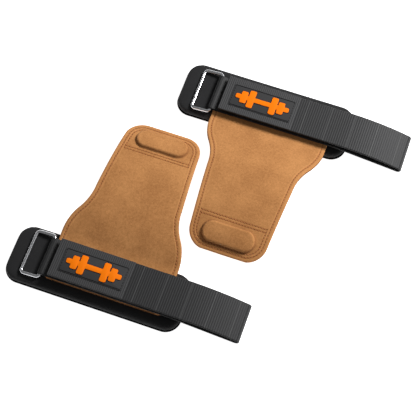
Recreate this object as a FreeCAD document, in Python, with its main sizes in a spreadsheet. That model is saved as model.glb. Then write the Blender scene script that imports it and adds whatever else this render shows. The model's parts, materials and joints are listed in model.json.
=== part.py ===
import FreeCAD, Part
import math
import operator
import os
from types import SimpleNamespace

import Sketcher
from FreeCAD import Rotation, Vector

# A pair of hand grips. Everything is drawn once, as the left grip, and mirrored for the right.
# In the left grip's own frame X runs along the strap from its free tip (0) to its fold, Y runs
# from the strap's centre line towards the fingers, and Z runs up from the table.
SIZES = (
    ("pair_clear", 28.3),         # from one grip's fingertips to the other's wrist band
    ("side_clear", 5.8),          # between the two necks
    ("band_length", 172.8),       # wrist band
    ("band_width", 57.6),
    ("band_thick", 7.5),
    ("band_corner", 15),
    ("band_rim", 5.5),            # rounding of its upper rim
    ("band_mid_x", 42.6),
    ("band_mid_y", -1.5),
    ("band_wall", 3),             # rim of the cover beside the foam
    ("lining_thick", 1),
    ("cover_thick", 1.2),
    ("leather_thick", 1.5),       # each of the two layers
    ("leather_mid_x", 53.2),
    ("wrist_half", 58.2),         # half the leather's width at the strap
    ("neck_half", 42.6),          # and where the neck begins
    ("end_half", 38),             # and at the fingertips
    ("palm_length", 140),         # past the strap's edge
    ("leather_back", 0.3),        # past the strap's other edge
    ("shoulder_start", 9),        # past the strap's edge
    ("neck_start", 61),
    ("leather_corner", 19),
    ("back_corner", 4),
    ("fold_line", 6.5),           # where the flap hinges, past the strap's edge
    ("flap_gap", 0.5),            # between the flap's rounded root and the sewn leather
    ("palm_bow", 12),             # rise of the flap's arch over its two ends
    ("pad_length", 52),           # finger pad
    ("pad_width", 20.5),
    ("pad_height", 3.5),
    ("pad_clear", 0.25),          # from the pocket's thread to the pad
    ("thread_width", 0.8),        # a row of thread
    ("thread_height", 0.35),
    ("edge_row", 3.5),            # thread rows, in from the leather's edge
    ("pocket_row", 6.3),
    ("row_clear", 3.15),          # from the pad to the nearer of the two cross rows
    ("row_pitch", 3),             # between the cross rows
    ("strap_width", 38),          # webbing
    ("strap_thick", 1.8),
    ("strap_end_x", 186),         # outside of its fold
    ("fold_radius", 3.6),         # outside radius of the fold
    ("fold_height", 5.1),         # the fold's centre over the table
    ("upper_slope", 18),          # degrees, upper leg where it meets the fold
    ("lower_bend", 60),           # radius of the lower leg's bend
    ("bend_back", 10),            # the lower leg's bend, back from the band's end
    ("tape_thick", 1.8),          # hook tape and loop tape
    ("tape_gap", 0.5),            # between them while the strap lies closed
    ("tape_margin", 2),           # in from the webbing's edges
    ("hook_start", 20),
    ("loop_start", 3),
    ("tape_stop", 6),             # short of where the webbing starts to bend
    ("wire_radius", 1.6),         # ring
    ("ring_side", 1),             # from the strap's edge to the ring, on each side
    ("ring_pitch", 18.4),         # between the centres of its two long bars
    ("ring_corner", 3.2),         # bend radius of the wire's centre line
    ("tab_clear", 0.35),          # from the leather's side edge to the tab
    ("ring_rest", 0.15),          # from the far bar down to the band
    ("bar_play", 0.25),           # round the bar in its tab
    ("tab_end", 16),
    ("tip_margin", 3),            # reinforcement past the patch
    ("tip_thick", 0.9),
    ("patch_start", 8),
    ("patch_length", 62),
    ("patch_width", 24),
    ("patch_thick", 0.5),
    ("patch_corner", 1),
    ("frame_inset", 0.6),         # dark frame round the patch
    ("emblem_thick", 0.6),
    ("emblem_bar", 54),           # barbell print: shaft, then its discs
    ("emblem_shaft", 5),
    ("disc_width", 6.5),
    ("disc_pitch", 7.5),
    ("big_disc", 19),
    ("small_disc", 13),
    ("disc_corner", 1.5),
)

OPERATIONS = {"+": operator.add, "-": operator.sub, "*": operator.mul, "/": operator.truediv}


class Formula:
    """A size together with the sheet expression it comes from."""

    def __init__(self, value, text):
        self.value = value
        self.text = text

    def join(self, sign, other, other_first=False):
        other = formula(other)
        left, right = (other, self) if other_first else (self, other)
        value = OPERATIONS[sign](left.value, right.value)
        return Formula(value, f"({left.text} {sign} {right.text})")

    def __add__(self, other):
        return self.join("+", other)

    def __radd__(self, other):
        return self.join("+", other, True)

    def __sub__(self, other):
        return self.join("-", other)

    def __rsub__(self, other):
        return self.join("-", other, True)

    def __mul__(self, other):
        return self.join("*", other)

    def __rmul__(self, other):
        return self.join("*", other, True)

    def __truediv__(self, other):
        return self.join("/", other)

    def __rtruediv__(self, other):
        return self.join("/", other, True)

    def __neg__(self):
        return self.join("*", -1)


def formula(number):
    if isinstance(number, Formula):
        return number
    return Formula(float(number), f"({float(number)})")


def sine(angle):
    return Formula(math.sin(math.radians(angle.value)), f"sin({angle.text})")


def cosine(angle):
    return Formula(math.cos(math.radians(angle.value)), f"cos({angle.text})")


def arc_sine(ratio):
    return Formula(math.degrees(math.asin(ratio.value)), f"(asin({ratio.text}) / 1 deg)")


def square_root(number):
    return Formula(math.sqrt(number.value), f"sqrt({number.text})")


doc = FreeCAD.newDocument("HandGrips")
sheet = doc.addObject("Spreadsheet::Sheet", "Sizes")
for row, (name, number) in enumerate(SIZES, start=1):
    sheet.set(f"A{row}", name)
    sheet.set(f"B{row}", str(number))
    sheet.setAlias(f"B{row}", name)
doc.recompute()
S = SimpleNamespace(**{name: Formula(float(sheet.get(name)), f"Sizes.{name}") for name, number in SIZES})

# Heights of the stack, from the table up.
anchor_z = S.band_thick
face_z = anchor_z + S.leather_thick
strap_z = face_z + S.leather_thick
hook_z = strap_z + S.strap_thick
loop_z = hook_z + S.tape_thick + S.tape_gap
upper_z = loop_z + S.tape_thick
tip_z = upper_z + S.strap_thick
patch_z = tip_z + S.tip_thick
emblem_z = patch_z + S.patch_thick

# The flap's arch is one arc from its hinge to the fingertips, both at the height of the seam
# between the two leather layers.
strap_half = S.strap_width / 2
hinge_y = strap_half + S.fold_line
tip_y = strap_half + S.palm_length
chord = tip_y - hinge_y
arch = (chord * chord / 4 + S.palm_bow * S.palm_bow) / (2 * S.palm_bow)
arch_y = (hinge_y + tip_y) / 2
arch_z = face_z + S.palm_bow - arch
arch_sine = chord / 2 / arch
arch_cosine = (arch - S.palm_bow) / arch

# The finger pad and its pocket, measured back from the fingertips.
pad_back = S.pocket_row + S.thread_width + S.pad_clear + S.pad_width / 2
second_back = pad_back + S.pad_width / 2 + S.row_clear

# The strap's fold turns about a line, and the lower leg slopes down to it from over the band.
band_start = S.band_mid_x - S.band_length / 2
fold_x = S.strap_end_x - S.fold_radius
fold_inside = S.fold_radius - S.strap_thick
corner_x = S.band_mid_x + S.band_length / 2 - S.bend_back
leg_run, leg_drop = fold_x - corner_x, strap_z - S.fold_height
leg = square_root(leg_run * leg_run + leg_drop * leg_drop)
lower_slope = arc_sine(leg_drop / leg) + arc_sine(S.fold_radius / leg)
lower_start = corner_x - S.lower_bend * (1 - cosine(lower_slope)) / sine(lower_slope)
upper_inner_z = S.fold_height + fold_inside * cosine(S.upper_slope)
upper_curve = (upper_z - upper_inner_z) / (1 - cosine(S.upper_slope))
upper_start = fold_x + (fold_inside - upper_curve) * sine(S.upper_slope)

# The ring's bar lies in the middle of its tab's two layers, beside the leather.
bar_bore = S.wire_radius + S.bar_play
tab_radius = bar_bore + S.strap_thick / 2
ring_x = S.leather_mid_x - S.wrist_half - tab_radius - S.tab_clear
bar_z = strap_z + S.strap_thick / 2

# The left grip's place in the pair, which is centred on the origin.
pair_shift = 2 * S.neck_half + S.side_clear
pair_gap = tip_y + S.band_mid_y + S.band_width / 2 + S.pair_clear
grip_x = -(S.strap_end_x + band_start) / 2 - pair_shift / 2
grip_y = -pair_gap / 2


def bind(obj, prop, number):
    obj.setExpression(prop, formula(number).text)


def place(obj, x=0, y=0, z=0):
    """Stands an object at a point of the left grip's own frame."""
    bind(obj, "Placement.Base.x", grip_x + x)
    bind(obj, "Placement.Base.y", grip_y + y)
    bind(obj, "Placement.Base.z", z)


def arc_between(start, end, radius, turn):
    """The shorter arc from start to end, turning left (1) or right (-1), and if it runs backwards."""
    first = Vector(start[0].value, start[1].value, 0)
    last = Vector(end[0].value, end[1].value, 0)
    half = (last - first) / 2
    height = math.sqrt(max(radius.value ** 2 - half.Length ** 2, 0))
    centre = first + half + Vector(-half.y, half.x, 0).normalize() * height * turn
    begin, finish = (first, last) if turn > 0 else (last, first)
    angles = [math.atan2(p.y - centre.y, p.x - centre.x) for p in (begin, finish)]
    circle = Part.Circle(centre, Vector(0, 0, 1), radius.value)
    return Part.ArcOfCircle(circle, *angles), turn < 0


def draw(sketch, outline):
    """Draws a closed outline. Each corner is (x, y) or (x, y, radius, turn), where the radius and
    the turn are those of the arc that leaves it; every size is bound to the sheet."""
    corners = [(formula(c[0]), formula(c[1])) for c in outline]
    ends = []
    for index, corner in enumerate(outline):
        start, end = corners[index], corners[(index + 1) % len(corners)]
        if len(corner) == 4:
            curve, backwards = arc_between(start, end, formula(corner[2]), corner[3])
        else:
            points = [Vector(x.value, y.value, 0) for x, y in (start, end)]
            curve, backwards = Part.LineSegment(*points), False
        sketch.addGeometry(curve, False)
        ends.append((2, 1) if backwards else (1, 2))
    for index, corner in enumerate(outline):
        after = (index + 1) % len(outline)
        joint = Sketcher.Constraint("Coincident", index, ends[index][1], after, ends[after][0])
        sketch.addConstraint(joint)
        for kind, number in zip(("DistanceX", "DistanceY"), corners[index]):
            distance = Sketcher.Constraint(kind, -1, 1, index, ends[index][0], number.value)
            bind(sketch, f"Constraints[{sketch.addConstraint(distance)}]", number)
        if len(corner) == 4:
            radius = formula(corner[2])
            constraint = sketch.addConstraint(Sketcher.Constraint("Radius", index, radius.value))
            bind(sketch, f"Constraints[{constraint}]", radius)


def sketch_on(body, name, role, offset=0):
    sketch = body.newObject("Sketcher::SketchObject", name)
    plane = next(f for f in body.Origin.OriginFeatures if f.Role == role)
    sketch.AttachmentSupport = (plane, [""])
    sketch.MapMode = "FlatFace"
    bind(sketch, "AttachmentOffset.Base.z", offset)
    return sketch


def slab(name, outline, depth, role="XY_Plane", offset=0):
    """A body padded from an outline: upwards from a height, or both ways from X = 0 or Y = 0."""
    body = doc.addObject("PartDesign::Body", name)
    sketch = sketch_on(body, name + "_outline", role, offset)
    draw(sketch, outline)
    pad = body.newObject("PartDesign::Pad", name + "_pad")
    pad.Profile = sketch
    pad.SideType = "One side" if role == "XY_Plane" else "Symmetric"
    bind(pad, "Length", depth)
    place(body)
    return body


def round_top(body, radius):
    """Rounds the edges of a slab's upper face."""
    doc.recompute()
    pad = body.Tip
    faces = range(1, len(pad.Shape.Faces) + 1)
    top = max(faces, key=lambda number: pad.Shape.Faces[number - 1].CenterOfMass.z)
    fillet = body.newObject("PartDesign::Fillet", body.Name + "_round")
    fillet.Base = (pad, [f"Face{top}"])
    bind(fillet, "Radius", radius)
    body.Tip = fillet


def rectangle(x, y, length, width):
    """Corners of a rectangle centred on a point."""
    left, right = x - length / 2, x + length / 2
    front, back = y - width / 2, y + width / 2
    return [(left, front), (right, front), (right, back), (left, back)]


def round_rectangle(x, y, length, width, radius):
    left, right = x - length / 2, x + length / 2
    front, back = y - width / 2, y + width / 2
    return [
        (left + radius, front), (right - radius, front, radius, 1),
        (right, front + radius), (right, back - radius, radius, 1),
        (right - radius, back), (left + radius, back, radius, 1),
        (left, back - radius), (left, front + radius, radius, 1),
    ]


def combine(kind, name, base, tool):
    result = doc.addObject("Part::" + kind, name)
    result.Base = base
    result.Tool = tool
    return result


def fuse(name, shapes):
    result = doc.addObject("Part::MultiFuse", name)
    result.Shapes = shapes
    return result


def leather_outline(inset=0):
    """Plan of the leather, or of a line that runs inside its edge: a wide wrist, a shoulder of two
    arcs down to the neck on each side, and round corners at the fingertips."""
    mid, wrist = S.leather_mid_x, S.wrist_half - inset
    neck, end = S.neck_half - inset, S.end_half - inset
    back, tip = inset - strap_half - S.leather_back, tip_y - inset
    low, high = strap_half + S.shoulder_start, strap_half + S.neck_start
    fall = S.wrist_half - S.neck_half
    rise = high - low
    shoulder = (rise * rise + fall * fall) / (4 * fall)
    middle_x = (S.wrist_half + S.neck_half) / 2 - inset * (1 - fall / 2 / shoulder)
    middle_y = (low + high) / 2 - inset * (rise / 2 / shoulder)
    corner, small = S.leather_corner - inset, S.back_corner
    convex, concave = shoulder - inset, shoulder + inset
    return [
        (mid - wrist + small, back), (mid + wrist - small, back, small, 1),
        (mid + wrist, back + small), (mid + wrist, low, convex, 1),
        (mid + middle_x, middle_y, concave, -1), (mid + neck, high),
        (mid + end, tip - corner, corner, 1), (mid + end - corner, tip),
        (mid - end + corner, tip, corner, 1), (mid - end, tip - corner),
        (mid - neck, high, concave, -1), (mid - middle_x, middle_y, convex, 1),
        (mid - wrist, low), (mid - wrist, back + small, small, 1),
    ]


def arch_point(offset, side):
    """A point off the arch's arc, on the radial line at the hinge (-1) or at the fingertips (1)."""
    return arch_y + side * (arch + offset) * arch_sine, arch_z + (arch + offset) * arch_cosine


def arch_outline(below, above):
    """Side view of a sheet that follows the arch between two offsets from the seam's arc."""
    return [
        (*arch_point(below, -1), arch + below, -1), arch_point(below, 1),
        (*arch_point(above, 1), arch + above, 1), arch_point(above, -1),
    ]


def hinge_root():
    """Where the quarter round at the flap's root ends, on the seam's line behind the hinge."""
    return hinge_y - S.leather_thick * arch_cosine, face_z - S.leather_thick * arch_sine


def arch_sheet(name, outline):
    """A wide sheet with the arch's side view, still to be cut to its plan."""
    return slab(name, outline, 4 * S.wrist_half, "YZ_Plane", S.leather_mid_x)


def make_band():
    mid = (S.band_mid_x, S.band_mid_y)
    outer = round_rectangle(*mid, S.band_length, S.band_width, S.band_corner)
    inner = round_rectangle(*mid, S.band_length - 2 * S.band_wall, S.band_width - 2 * S.band_wall,
                            S.band_corner - S.band_wall)
    core_thick = S.band_thick - S.lining_thick - S.cover_thick
    lining = slab("wrist_lining", outer, S.lining_thick)
    core = slab("wrist_core", inner, core_thick, offset=S.lining_thick)
    round_top(core, S.band_rim - S.band_wall)
    form = slab("cover_form", outer, S.band_thick - S.lining_thick, offset=S.lining_thick)
    round_top(form, S.band_rim)
    return [lining, core, combine("Cut", "wrist_cover", form, core)]


def make_anchor(plan):
    """The leather's wrist end, two layers sewn down on the band."""
    back = -strap_half - S.leather_back - 1
    front = hinge_y - S.leather_thick - S.flap_gap
    middle, depth = (back + front) / 2, front - back
    outline = rectangle(S.leather_mid_x, middle, 3 * S.wrist_half, depth)
    layers = []
    for name, z in (("anchor_back", anchor_z), ("anchor_face", face_z)):
        strip = slab(name + "_strip", outline, S.leather_thick, offset=z)
        layers.append(combine("Common", name, plan, strip))
    return layers


def pad_form(name, inset, height, rounding):
    """The finger pad's swelling: a long round slab with a rounded top, square to the arch."""
    length, width = S.pad_length - 2 * inset, S.pad_width - 2 * inset
    reach = tip_y - pad_back - arch_y
    lean = arc_sine(reach / arch)
    outline = round_rectangle(formula(0), formula(0), length, width, width / 2 - 0.01)
    form = slab(name, outline, height + 1, offset=-1)
    round_top(form, rounding)
    place(form, S.leather_mid_x, arch_y + reach, arch_z + arch * cosine(lean))
    form.Placement.Rotation = Rotation(Vector(1, 0, 0), -lean.value)
    bind(form, "Placement.Rotation.Angle", lean)
    return form


def make_palm(plan):
    """The flap: two leather layers, the foam of the finger pad between them, and its thread."""
    thick = S.leather_thick
    quarter = (*arch_point(thick, -1), thick, 1)
    face_side = arch_outline(0, thick)[:3] + [quarter, hinge_root()]
    under = arch_outline(-thick, 0)
    back_side = [(*hinge_root(), thick, 1), under[0], under[1], under[2], under[3]]
    back = combine("Common", "palm_back", plan, arch_sheet("back_sheet", back_side))
    flat_face = combine("Common", "flat_face", plan, arch_sheet("face_sheet", face_side))
    above = arch_sheet("above_seam", arch_outline(0, 2 * S.pad_height + thick))
    swelling = combine("Common", "swelling", above, pad_form(
        "swelling_form", 0, S.pad_height + thick, S.pad_height - 0.2))
    insert = combine("Common", "pad_insert", above, pad_form(
        "insert_form", thick, S.pad_height, S.pad_height - thick))
    face = combine("Cut", "palm_face", fuse("raised_face", [flat_face, swelling]), insert)
    return [back, face, insert]


def thread_ring(name, inset):
    """A thin upright wall along a line inside the leather's edge, from the table up."""
    height = arch_z + arch + 2 * S.pad_height
    outer = slab(name + "_outside", leather_outline(inset), height)
    inner = slab(name + "_inside", leather_outline(inset + S.thread_width), height)
    return combine("Cut", name + "_wall", outer, inner)


def make_thread():
    """The flap's rows of thread, which lie on the face layer."""
    thick = S.leather_thick
    skin = arch_sheet("thread_skin", arch_outline(thick, thick + S.thread_height))
    edge = combine("Common", "edge_stitching", thread_ring("edge_row", S.edge_row), skin)
    height = arch_z + arch + 2 * S.pad_height
    second_y = tip_y - second_back
    first_y = second_y - S.row_pitch
    beyond = rectangle(S.leather_mid_x, tip_y, 4 * S.end_half, 2 * (tip_y - first_y))
    rows = [combine("Common", "pocket_end", thread_ring("pocket_row", S.pocket_row),
                    slab("pocket_zone", beyond, height))]
    corner_y = tip_y - S.leather_corner
    taper = (S.neck_half - S.end_half) / (corner_y - strap_half - S.neck_start)
    for name, y in (("first_row", first_y), ("second_row", second_y)):
        reach = S.end_half + (corner_y - y) * taper - S.pocket_row
        row = rectangle(S.leather_mid_x, y, 2 * reach, S.thread_width)
        rows.append(slab(name, row, height))
    return [edge, combine("Common", "pad_stitching", fuse("pocket_rows", rows), skin)]


def strap_slab(name, outline, width):
    return slab(name, outline, width, "XZ_Plane")


def make_lower_strap():
    """Flat on the leather, then bent down to the fold."""
    thick, down, along = S.strap_thick, sine(lower_slope), cosine(lower_slope)
    end_x, end_z = fold_x - S.fold_radius * down, S.fold_height - S.fold_radius * along
    after_x, after_z = lower_start + S.lower_bend * down, strap_z - S.lower_bend * (1 - along)
    outline = [
        (S.tab_end, strap_z), (lower_start, strap_z, S.lower_bend, -1),
        (after_x, after_z), (end_x, end_z),
        (end_x + thick * down, end_z + thick * along),
        (after_x + thick * down, after_z + thick * along, S.lower_bend + thick, 1),
        (lower_start, hook_z), (S.tab_end, hook_z),
    ]
    return strap_slab("strap_lower", outline, S.strap_width)


def make_upper_strap():
    """Flat over the grip, then one long arc down to the fold."""
    down, along = sine(S.upper_slope), cosine(S.upper_slope)
    outline = [
        (0, upper_z), (upper_start, upper_z, upper_curve, -1),
        (fold_x + fold_inside * down, upper_inner_z),
        (fold_x + S.fold_radius * down, S.fold_height + S.fold_radius * along,
         upper_curve + S.strap_thick, 1),
        (upper_start, tip_z), (0, tip_z),
    ]
    return strap_slab("strap_upper", outline, S.strap_width)


def round_bar(name, radius, x, z, sweep=360, start=0):
    """A cylinder, or a sector of one, across the strap; angles run from +X towards +Z."""
    bar = doc.addObject("Part::Cylinder", name)
    bind(bar, "Radius", radius)
    bind(bar, "Height", S.strap_width)
    bind(bar, "Angle", sweep)
    place(bar, x, strap_half, z)
    turn = math.radians(start)
    first = Vector(math.cos(turn), 0, math.sin(turn))
    second = Vector(-math.sin(turn), 0, math.cos(turn))
    bar.Placement.Rotation = Rotation(first, second, Vector(0, -1, 0), "XYZ")
    return bar


def make_fold():
    sweep = 180 + lower_slope - S.upper_slope
    start = -90 - lower_slope.value
    at = (fold_x, S.fold_height, sweep, start)
    outside = round_bar("fold_outside", S.fold_radius, *at)
    return combine("Cut", "strap_fold", outside, round_bar("fold_inside", fold_inside, *at))


def strip(name, start, end, width, z, thick):
    outline = rectangle((start + end) / 2, formula(0), end - start, width)
    return slab(name, outline, thick, offset=z)


def make_tapes():
    width, thick = S.strap_width - 2 * S.tape_margin, S.tape_thick
    hook = strip("hook_tape", S.hook_start, lower_start - S.tape_stop, width, hook_z, thick)
    loop = strip("loop_tape", S.loop_start, upper_start - S.tape_stop, width, loop_z, thick)
    return [hook, loop]


def make_ring():
    """A wire rectangle whose origin is the bar held by the tab, tipped down on the band."""
    body = doc.addObject("PartDesign::Body", "ring")
    path = sketch_on(body, "ring_path", "XY_Plane")
    across = S.strap_width + 2 * (S.ring_side + S.wire_radius)
    draw(path, round_rectangle(-S.ring_pitch / 2, formula(0), S.ring_pitch, across, S.ring_corner))
    section = sketch_on(body, "ring_section", "XZ_Plane")
    section.addGeometry(Part.Circle(Vector(0, 0, 0), Vector(0, 0, 1), S.wire_radius.value), False)
    section.addConstraint(Sketcher.Constraint("Coincident", 0, 3, -1, 1))
    radius = section.addConstraint(Sketcher.Constraint("Radius", 0, S.wire_radius.value))
    bind(section, f"Constraints[{radius}]", S.wire_radius)
    pipe = body.newObject("PartDesign::AdditivePipe", "ring_wire")
    pipe.Profile = section
    pipe.Spine = (path, [])
    drop = bar_z - (S.band_thick + S.ring_rest + S.wire_radius)
    lean = arc_sine(drop / S.ring_pitch)
    place(body, ring_x, 0, bar_z)
    body.Placement.Rotation = Rotation(Vector(0, -1, 0), lean.value)
    bind(body, "Placement.Rotation.Angle", lean)
    return body


def make_tab():
    """Webbing folded round the ring's bar, both ends under the strap."""
    outside = round_bar("tab_outside", tab_radius, ring_x, bar_z)
    tails = strip("tab_tails", ring_x, S.tab_end, S.strap_width, strap_z, S.strap_thick)
    solid = fuse("tab_solid", [outside, tails])
    return combine("Cut", "ring_tab", solid, round_bar("tab_bore", bar_bore, ring_x, bar_z))


def make_tip():
    """The reinforced tip, its patch with a frame of thread, and the barbell print."""
    tip_end = S.patch_start + S.patch_length + S.tip_margin
    plate = strip("tip_reinforcement", formula(0), tip_end, S.strap_width, tip_z, S.tip_thick)
    middle = S.patch_start + S.patch_length / 2
    centre = (middle, formula(0))
    patch_size = (S.patch_length, S.patch_width)
    patch = slab("patch", round_rectangle(*centre, *patch_size, S.patch_corner), S.patch_thick,
                 offset=patch_z)
    sides = [size - 2 * S.frame_inset for size in patch_size]
    frame_out = slab("frame_outside", rectangle(*centre, *sides), S.thread_height, offset=emblem_z)
    sides = [size - 2 * S.thread_width for size in sides]
    frame_in = slab("frame_inside", rectangle(*centre, *sides), S.thread_height, offset=emblem_z)
    frame = combine("Cut", "patch_stitching", frame_out, frame_in)
    outlines = [round_rectangle(*centre, S.emblem_bar, S.emblem_shaft, S.disc_corner)]
    for side in (-1, 1):
        for step, height in ((1.5, S.big_disc), (2.5, S.small_disc)):
            x = middle + side * step * S.disc_pitch
            outlines.append(round_rectangle(x, formula(0), S.disc_width, height, S.disc_corner))
    prints = [slab(f"print_{number}", outline, S.emblem_thick, offset=emblem_z)
              for number, outline in enumerate(outlines)]
    return [plate, patch, frame, fuse("emblem", prints)]


def make_pieces():
    plan = slab("leather_plan", leather_outline(), arch_z + arch + 2 * S.pad_height)
    return (make_band() + make_anchor(plan) + make_palm(plan) + make_thread()
            + [make_lower_strap(), make_fold(), make_upper_strap()]
            + make_tapes() + [make_ring(), make_tab()] + make_tip())


def mirror(piece):
    """The right grip's piece: the left one mirrored across the pair's middle and moved along."""
    twin = doc.addObject("Part::Mirroring", "right_" + piece.Name)
    twin.Source = piece
    twin.Normal = (0, 1, 0)
    bind(twin, "Placement.Base.x", pair_shift)
    return twin


pieces = make_pieces()
twins = [mirror(piece) for piece in pieces]
for piece, twin in zip(pieces, twins):
    piece.Label = "left_" + piece.Name
    twin.Label = "right_" + piece.Name
doc.recompute()

for obj in doc.Objects:
    if "Invalid" in obj.State or "Error" in obj.State:
        raise RuntimeError(f"{obj.Label} failed: {obj.State}")
os.makedirs("parts", exist_ok=True)
for obj in pieces + twins:
    shape = obj.Shape
    if shape.isNull() or not shape.isValid() or not shape.Solids:
        raise RuntimeError(f"{obj.Label} has no valid solid")
    shape.exportStep(f"parts/{obj.Label}.step")
    box = shape.BoundBox
    print(f"{obj.Label:26s} solids {len(shape.Solids)} volume {shape.Volume:9.1f} "
          f"x {box.XMin:7.1f} {box.XMax:7.1f} y {box.YMin:7.1f} {box.YMax:7.1f} "
          f"z {box.ZMin:6.2f} {box.ZMax:6.2f}")
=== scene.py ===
import json
import math

import bmesh
import bpy
from mathutils import Matrix, Vector, noise


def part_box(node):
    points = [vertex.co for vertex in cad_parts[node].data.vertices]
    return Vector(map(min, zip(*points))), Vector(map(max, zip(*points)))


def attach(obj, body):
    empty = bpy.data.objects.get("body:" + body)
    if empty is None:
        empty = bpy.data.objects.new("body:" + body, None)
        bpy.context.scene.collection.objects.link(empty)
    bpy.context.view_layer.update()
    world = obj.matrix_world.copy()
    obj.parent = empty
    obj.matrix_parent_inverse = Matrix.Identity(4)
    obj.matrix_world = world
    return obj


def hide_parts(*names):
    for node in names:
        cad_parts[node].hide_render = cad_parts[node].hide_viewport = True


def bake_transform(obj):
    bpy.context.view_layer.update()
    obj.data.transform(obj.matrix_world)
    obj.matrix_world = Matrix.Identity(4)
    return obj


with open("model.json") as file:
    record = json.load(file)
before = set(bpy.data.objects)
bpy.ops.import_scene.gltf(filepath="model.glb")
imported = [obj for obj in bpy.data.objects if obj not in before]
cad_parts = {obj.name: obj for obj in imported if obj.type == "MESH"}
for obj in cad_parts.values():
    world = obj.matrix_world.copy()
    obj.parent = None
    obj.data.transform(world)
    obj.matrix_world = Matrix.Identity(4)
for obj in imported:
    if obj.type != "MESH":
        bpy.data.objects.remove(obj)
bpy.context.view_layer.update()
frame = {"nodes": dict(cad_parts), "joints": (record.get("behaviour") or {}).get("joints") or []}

mm = 0.001
sides = {"left": 1, "right": -1}  # the right grip is the left one mirrored in Y
joints = {joint["name"]: joint for joint in frame["joints"]}


def gripPlace(side):  # where a grip's own zero lies: its strap's free tip, on the centre line
    low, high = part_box(side + "_strap_upper")
    return Vector((low.x, (low.y + high.y) / 2, 0))


def gripBox(node):  # a node's corners in the left grip's own millimetres
    low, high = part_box("left_" + node)
    return (low - gripPlace("left")) / mm, (high - gripPlace("left")) / mm


def gripPoint(side, x, y, z):  # from a grip's own millimetres to the shared frame
    return gripPlace(side) + Vector((x, y * sides[side], z)) * mm


def jointPlace(name):
    return (Vector(joints["left_" + name]["pos_m"]) - gripPlace("left")) / mm


bandLow, bandHigh = gripBox("wrist_cover")
liningHigh = gripBox("wrist_lining")[1]
anchorLow, anchorHigh = gripBox("anchor_face")
flapHigh = gripBox("palm_face")[1]
upperLow, upperHigh = gripBox("strap_upper")
lowerLow, lowerHigh = gripBox("strap_lower")
tabLow, tabHigh = gripBox("ring_tab")
ringLow, ringHigh = gripBox("ring")
palmHinge, ringHinge, strapHinge = (jointPlace(n) for n in ("palm_fold", "ring_swing", "strap_open"))
print("frame read:", len(frame["nodes"]), "nodes")


class Socket:  # a shader output that can stand in sums
    def __init__(self, finish, output):
        self.finish, self.output = finish, output

    def maths(self, operation, *others):
        return self.finish.add("ShaderNodeMath", {"operation": operation}, dict(enumerate((self, *others))))

    def swapped(self, operation, other):
        return self.finish.add("ShaderNodeMath", {"operation": operation}, {0: other, 1: self})

    def __add__(self, other):
        return self.maths("ADD", other)

    def __radd__(self, other):
        return self.maths("ADD", other)

    def __sub__(self, other):
        return self.maths("SUBTRACT", other)

    def __rsub__(self, other):
        return self.swapped("SUBTRACT", other)

    def __mul__(self, other):
        return self.maths("MULTIPLY", other)

    def __rmul__(self, other):
        return self.maths("MULTIPLY", other)

    def __truediv__(self, other):
        return self.maths("DIVIDE", other)

    def __rtruediv__(self, other):
        return self.swapped("DIVIDE", other)


class Finish:  # a material, or the studio's surroundings, and the nodes that make it
    def __init__(self, name, world=None, **constants):
        self.material = world or bpy.data.materials.new(name)
        self.material.use_nodes = True
        self.tree = self.material.node_tree
        self.surface = self.tree.nodes["Background" if world else "Principled BSDF"]
        for socket, value in constants.items():
            self.surface.inputs[socket.replace("_", " ")].default_value = value

    def add(self, kind, settings, values, result=0):  # any node: its settings, then its sockets
        node = self.tree.nodes.new(kind)
        for name, value in settings.items():
            setattr(node, name, value)
        for key, value in values.items():
            named = [s for s in node.inputs if key in (s.identifier, s.name)]
            socket = node.inputs[key] if isinstance(key, int) else named[0]
            self.feed(socket, value)
        return Socket(self, node.outputs[result])

    def feed(self, socket, value):
        if isinstance(value, Socket):
            self.tree.links.new(value.output, socket)
        else:
            socket.default_value = value

    def drive(self, **values):  # what changes over the surface
        for name, value in values.items():
            self.feed(self.surface.inputs[name.replace("_", " ")], value)

    def attribute(self, name, result="Fac"):
        return self.add("ShaderNodeAttribute", {"attribute_name": name}, {}, result)

    def along(self):  # the flat-cut coordinates in millimetres, along and across the piece
        flat = self.attribute("flat", "Vector")
        return [self.add("ShaderNodeSeparateXYZ", {}, {0: flat}, axis) for axis in range(2)]

    def place(self):  # object coordinates in millimetres
        spot = self.add("ShaderNodeTexCoord", {}, {}, "Object")
        return self.add("ShaderNodeVectorMath", {"operation": "SCALE"}, {0: spot, "Scale": 1 / mm})

    def grain(self, spot, size, detail=2, rough=0.5):  # soft noise, size in millimetres
        return self.add("ShaderNodeTexNoise", {}, {"Vector": spot, "Scale": 1 / size, "Detail": detail,
                                                   "Roughness": rough})

    def wave(self, value, pitch):  # 0 to 1 and back, once each pitch
        return (value * (2 * math.pi / pitch)).maths("SINE") * 0.5 + 0.5

    def step(self, value, low, high):
        return self.add("ShaderNodeMapRange", {"interpolation_type": "SMOOTHSTEP"},
                        {"Value": value, "From Min": low, "From Max": high})

    def mix(self, share, first, second):
        return self.add("ShaderNodeMix", {"data_type": "RGBA"}, {
            "Factor_Float": share, "A_Color": first, "B_Color": second}, 2)

    def bump(self, height, depth, strength=1.0):  # depth in millimetres
        return self.add("ShaderNodeBump", {}, {"Height": height, "Distance": depth * mm,
                                               "Strength": strength}, "Normal")


def colour(red, green, blue):  # screen values 0 to 255 to the linear ones that Blender keeps
    def linear(value):
        share = value / 255
        return share / 12.92 if share <= 0.04045 else ((share + 0.055) / 1.055) ** 2.4
    return (linear(red), linear(green), linear(blue), 1)


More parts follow.
